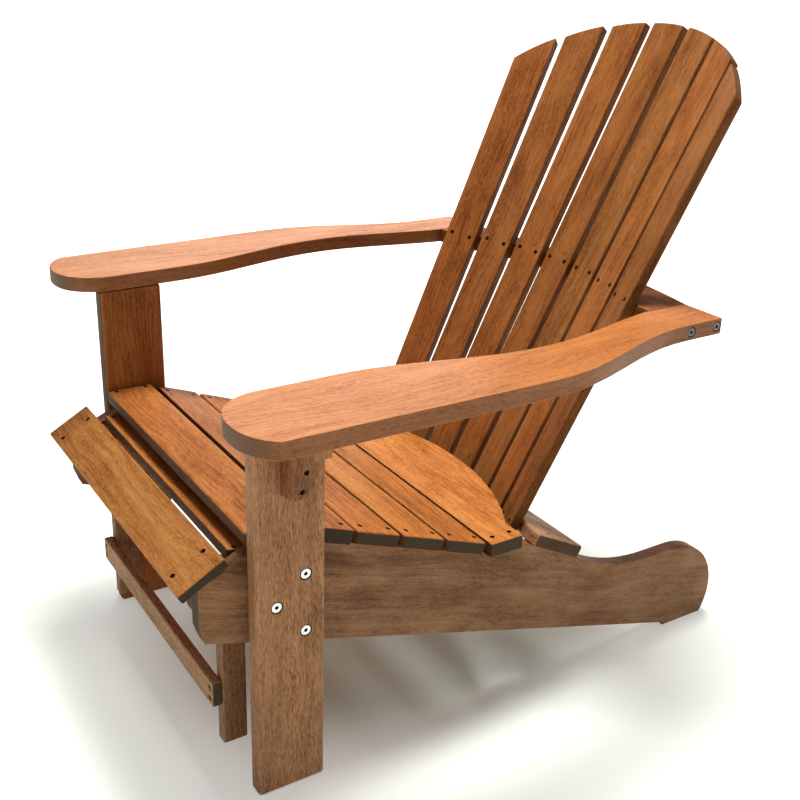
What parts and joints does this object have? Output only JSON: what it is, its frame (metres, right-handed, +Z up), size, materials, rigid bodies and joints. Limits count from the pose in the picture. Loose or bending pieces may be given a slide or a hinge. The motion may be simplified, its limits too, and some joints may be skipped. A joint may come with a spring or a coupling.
{
  "type": "adirondack chair",
  "caption": "Hardwood adirondack chair with wide arms, a fanned slatted back and a slatted footrest that slides out from under the seat.",
  "frame": {"origin": "centre of the chair's footprint box, on the floor", "axes": "+Z up; the sitter faces -Y; +X is the sitter's left hand"},
  "size_m": [0.7548, 0.9353, 0.8979],
  "materials": {
    "slat_wood": "satin",
    "frame_wood": "satin",
    "bolt_steel": "satin",
    "screw_steel": "satin",
    "rod_steel": "satin"
  },
  "bodies": {
    "chair": {"side_rail_left": "frame_wood", "side_rail_right": "frame_wood", "front_leg_left": "frame_wood", "front_leg_right": "frame_wood", "arm_left": "slat_wood", "arm_right": "slat_wood", "arm_bracket_left": "frame_wood", "arm_bracket_right": "frame_wood", "arm_cleat_left": "frame_wood", "arm_cleat_right": "frame_wood", "seat_slat_1": "slat_wood", "seat_slat_2": "slat_wood", "seat_slat_3": "slat_wood", "seat_slat_4": "slat_wood", "seat_slat_5": "slat_wood", "seat_slat_rear": "slat_wood", "lower_back_rail": "frame_wood", "upper_back_rail": "slat_wood", "back_slat_1": "slat_wood", "back_slat_2": "slat_wood", "back_slat_3": "slat_wood", "back_slat_4": "slat_wood", "back_slat_5": "slat_wood", "back_slat_6": "slat_wood", "back_slat_7": "slat_wood", "leg_bolts": "bolt_steel", "arm_bolts": "bolt_steel", "bracket_screws": "screw_steel", "cleat_screws": "screw_steel", "seat_screws": "screw_steel", "lower_rail_screws": "screw_steel", "back_screws_upper": "screw_steel", "back_screws_lower": "screw_steel"},
    "guide_rod": {"footrest_guide_rod": "rod_steel"},
    "footrest": {"footrest_rail_left": "frame_wood", "footrest_rail_right": "frame_wood", "footrest_leg_left": "frame_wood", "footrest_leg_right": "frame_wood", "footrest_stretcher": "frame_wood", "footrest_slat_1": "slat_wood", "footrest_slat_2": "slat_wood", "footrest_slat_3": "slat_wood", "footrest_slat_4": "slat_wood", "footrest_slat_5": "slat_wood", "footrest_screws": "screw_steel", "footrest_leg_screws": "screw_steel", "stretcher_screws": "screw_steel"}
  },
  "joints": [
    {"name": "footrest_slide", "type": "slide", "parent": "chair", "child": "guide_rod", "axis": [0, -1, 0], "range_m": [0, 0.245]},
    {"name": "footrest_tilt", "type": "hinge", "parent": "guide_rod", "child": "footrest", "pos_m": [0, -0.12202, 0.236], "axis": [1, 0, 0], "range_deg": [0, 10.9]}
  ],
  "couplings": [
    {"joint": "footrest_tilt", "follows": "footrest_slide", "rad_per_m": 0.7694}
  ]
}
